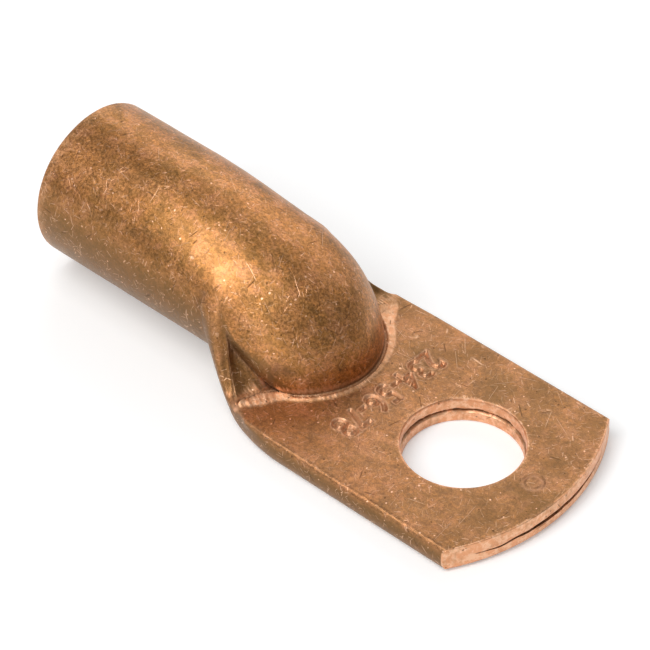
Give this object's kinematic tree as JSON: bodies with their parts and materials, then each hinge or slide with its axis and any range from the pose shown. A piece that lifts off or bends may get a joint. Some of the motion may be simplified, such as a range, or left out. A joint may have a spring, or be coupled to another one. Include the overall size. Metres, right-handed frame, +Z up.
{
  "type": "cable lug",
  "caption": "Tubular copper cable lug: a round barrel that takes the conductor, pressed flat at one end into a palm with a bolt hole.",
  "frame": {"origin": "centre of the bolt hole on the palm's seating face", "axes": "+X along the lug from the barrel to the palm's end, +Z up out of the palm, away from the seating face"},
  "size_m": [0.0885, 0.0352, 0.0241],
  "materials": {
    "copper": "bare copper with a light brown tarnish, fine scratches and bright cut edges"
  },
  "bodies": {
    "root": {"cable_lug": "copper"}
  },
  "joints": []
}
